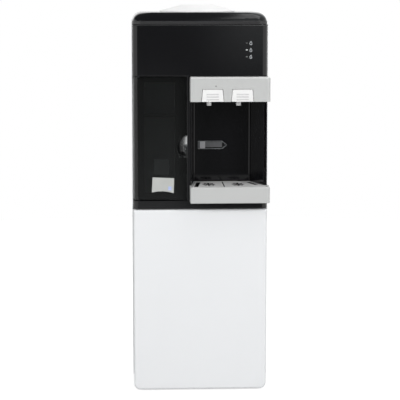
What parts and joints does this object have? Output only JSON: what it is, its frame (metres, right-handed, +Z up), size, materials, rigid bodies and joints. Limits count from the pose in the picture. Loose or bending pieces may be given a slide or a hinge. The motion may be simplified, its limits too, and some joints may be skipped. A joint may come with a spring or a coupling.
{
  "type": "water dispenser",
  "caption": "Floor-standing top-loading water dispenser: white body, gloss black upper front, smoked cup-cupboard door, push-paddle taps over a pull-out drip tray, bottle seat on top.",
  "frame": {"origin": "on the floor, under the middle of the bounding box", "axes": "+X to the viewer's right, +Y towards the back, +Z up; the front faces -Y"},
  "size_m": [0.3425, 0.369, 0.979],
  "materials": {
    "white_steel": "smooth powder coat",
    "white_panel": "satin moulded",
    "white_plastic": "satin moulded",
    "black_gloss": "polished",
    "smoked": "polished, smoked",
    "silver": "metallic silver lacquer",
    "nozzle_plastic": "satin moulded",
    "lamp": "clear",
    "board_green": "varnished",
    "galvanised": "galvanised",
    "stainless": "brushed",
    "bright_steel": "ground",
    "magnet": "sintered",
    "black_metal": "black paint",
    "copper": "drawn copper",
    "rubber_black": "moulded",
    "silicone": "translucent silicone",
    "foam": "expanded foam",
    "dark_plastic": "moulded",
    "red_plastic": "moulded",
    "green_plastic": "moulded"
  },
  "bodies": {
    "cabinet": {"base_pan": "dark_plastic", "bay_liner": "black_gloss", "cold_hose": "silicone", "cold_tank": "stainless", "cold_tank_jacket": "foam", "compressor": "black_metal", "compressor_grommets": "rubber_black", "condenser_clips": "dark_plastic", "condenser_tube": "black_metal", "condenser_wires": "black_metal", "cord_gland": "rubber_black", "cup_shelf": "smoked", "cupboard_liner": "white_plastic", "discharge_pipe": "copper", "door_magnet": "magnet", "door_pins": "bright_steel", "drain_caps": "dark_plastic", "drain_hoses": "silicone", "drain_spouts": "dark_plastic", "evaporator_coil": "copper", "feet": "rubber_black", "filter_drier": "copper", "front_frame": "black_gloss", "heater_band": "stainless", "hot_deck": "galvanised", "hot_feed_hose": "silicone", "hot_hose": "silicone", "hot_tank": "stainless", "indicator_board": "board_green", "indicator_lamps": "lamp", "left_side_panel": "white_steel", "left_tap_body": "nozzle_plastic", "left_tap_spring": "bright_steel", "lower_front_panel": "white_panel", "paddle_pins": "bright_steel", "power_box": "dark_plastic", "rear_panel": "galvanised", "relay_cover": "dark_plastic", "right_side_panel": "white_steel", "right_tap_body": "nozzle_plastic", "right_tap_spring": "bright_steel", "suction_pipe": "copper", "switch_housings": "dark_plastic", "tank_cap": "foam", "tank_deck": "galvanised", "tap_bonnets": "nozzle_plastic", "tap_fascia": "silver", "top_cover": "black_gloss", "upper_front_panel": "black_gloss"},
    "left_paddle": {"left_paddle": "white_plastic"},
    "right_paddle": {"right_paddle": "white_plastic"},
    "left_valve": {"left_valve_plug": "silicone"},
    "right_valve": {"right_valve_plug": "silicone"},
    "cup_door": {"cup_door": "smoked", "door_strike": "bright_steel"},
    "drip_tray": {"drip_tray": "silver"},
    "drip_grille": {"drip_grille": "silver"},
    "bottle_seat": {"bottle_seat": "white_plastic"},
    "heat_rocker": {"heat_rocker": "red_plastic"},
    "cool_rocker": {"cool_rocker": "green_plastic"}
  },
  "joints": [
    {"name": "left_paddle_press", "type": "hinge", "parent": "cabinet", "child": "left_paddle", "pos_m": [0.029, -0.177, 0.768], "axis": [1, 0, 0], "range_deg": [0, 10], "stiffness_Nm_per_rad": 0.5, "springref_deg": -3.44},
    {"name": "left_valve_lift", "type": "slide", "parent": "cabinet", "child": "left_valve", "axis": [0, 0, 1], "range_m": [0, 0.00825], "deforming": ["left_tap_spring"]},
    {"name": "right_paddle_press", "type": "hinge", "parent": "cabinet", "child": "right_paddle", "pos_m": [0.103, -0.177, 0.768], "axis": [1, 0, 0], "range_deg": [0, 10], "stiffness_Nm_per_rad": 0.5, "springref_deg": -3.44},
    {"name": "right_valve_lift", "type": "slide", "parent": "cabinet", "child": "right_valve", "axis": [0, 0, 1], "range_m": [0, 0.00825], "deforming": ["right_tap_spring"]},
    {"name": "cup_door_swing", "type": "hinge", "parent": "cabinet", "child": "cup_door", "pos_m": [-0.1544, -0.13, 0.647], "axis": [0, 0, -1], "range_deg": [0, 110]},
    {"name": "drip_tray_pull", "type": "slide", "parent": "cabinet", "child": "drip_tray", "axis": [0, -1, 0], "range_m": [0, 0.14]},
    {"name": "drip_grille_lift", "type": "slide", "parent": "drip_tray", "child": "drip_grille", "axis": [0, 0, 1], "range_m": [0, 0.06]},
    {"name": "bottle_seat_lift", "type": "slide", "parent": "cabinet", "child": "bottle_seat", "axis": [0, 0, 1], "range_m": [0, 0.1]},
    {"name": "heat_switch", "type": "hinge", "parent": "cabinet", "child": "heat_rocker", "pos_m": [0.068, 0.161, 0.898], "axis": [-1, 0, 0], "range_deg": [0, 16]},
    {"name": "cool_switch", "type": "hinge", "parent": "cabinet", "child": "cool_rocker", "pos_m": [0.104, 0.161, 0.898], "axis": [-1, 0, 0], "range_deg": [0, 16]}
  ],
  "couplings": [
    {"joint": "left_valve_lift", "follows": "left_paddle_press", "m_per_rad": 0.047},
    {"joint": "right_valve_lift", "follows": "right_paddle_press", "m_per_rad": 0.047}
  ]
}
